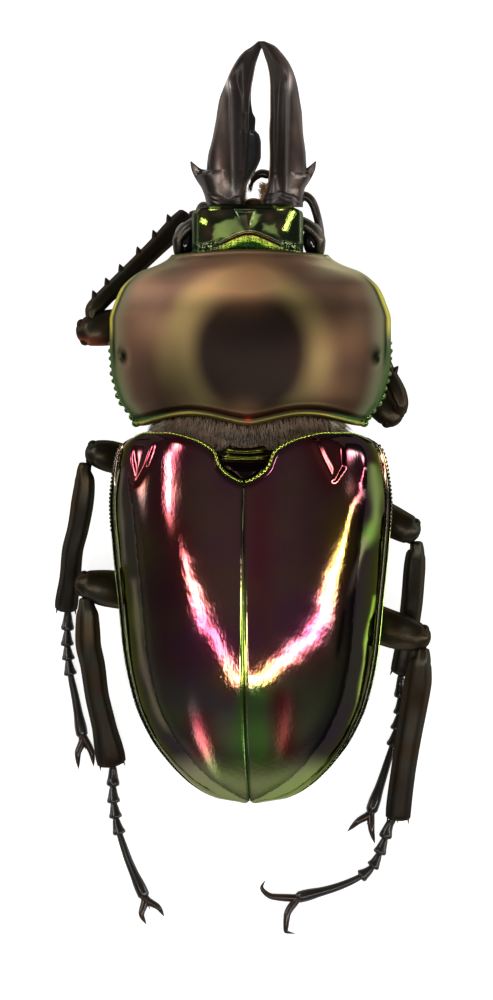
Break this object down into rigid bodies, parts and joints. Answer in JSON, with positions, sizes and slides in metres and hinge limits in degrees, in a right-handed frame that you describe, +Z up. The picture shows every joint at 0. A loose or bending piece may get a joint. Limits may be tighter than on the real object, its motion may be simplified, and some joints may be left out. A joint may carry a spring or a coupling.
{
  "type": "rainbow stag beetle",
  "caption": "Life-size still model of a large male rainbow stag beetle, standing on its feet, with horn-like jaws, a bronze thorax and wine-red wing cases.",
  "frame": {"origin": "on the floor, under the middle of the model's bounding box", "axes": "+Z up, +Y towards the tips of the jaws, +X to the right as seen from above with the jaws at the top"},
  "size_m": [0.0282, 0.067, 0.0137],
  "materials": {
    "pronotum_bronze": "satin metallic bronze cuticle",
    "elytron_wine": "mirror-gloss metallic wine cuticle",
    "head_green": "metallic green cuticle",
    "mandible_horn": "semi-gloss dark horn",
    "leg_olive": "semi-gloss dark olive-brown cuticle",
    "underside_olive": "semi-gloss olive-green cuticle",
    "feeler_brown": "semi-gloss dark brown",
    "neck_black": "matt black membrane",
    "hair_amber": "fine amber hair",
    "eye_black": "polished near-black"
  },
  "bodies": {
    "root": {"head": "head_green", "eye_left": "eye_black", "mandible_left": "mandible_horn", "antenna_scape_left": "feeler_brown", "antenna_club_left": "feeler_brown", "palp_left": "feeler_brown", "elytron_left": "elytron_wine", "eye_right": "eye_black", "mandible_right": "mandible_horn", "antenna_scape_right": "feeler_brown", "antenna_club_right": "feeler_brown", "palp_right": "feeler_brown", "elytron_right": "elytron_wine", "labrum": "hair_amber", "mentum": "underside_olive", "pronotum": "pronotum_bronze", "prosternum": "underside_olive", "mesothorax": "neck_black", "scutellum": "head_green", "metasternum": "underside_olive", "abdomen": "underside_olive", "coxa_left_front": "leg_olive", "femur_left_front": "leg_olive", "tibia_left_front": "leg_olive", "tarsus_left_front": "leg_olive", "coxa_right_front": "leg_olive", "femur_right_front": "leg_olive", "tibia_right_front": "leg_olive", "tarsus_right_front": "leg_olive", "coxa_left_middle": "leg_olive", "femur_left_middle": "leg_olive", "tibia_left_middle": "leg_olive", "tarsus_left_middle": "leg_olive", "coxa_right_middle": "leg_olive", "femur_right_middle": "leg_olive", "tibia_right_middle": "leg_olive", "tarsus_right_middle": "leg_olive", "coxa_left_hind": "leg_olive", "femur_left_hind": "leg_olive", "tibia_left_hind": "leg_olive", "tarsus_left_hind": "leg_olive", "coxa_right_hind": "leg_olive", "femur_right_hind": "leg_olive", "tibia_right_hind": "leg_olive", "tarsus_right_hind": "leg_olive"}
  },
  "joints": []
}
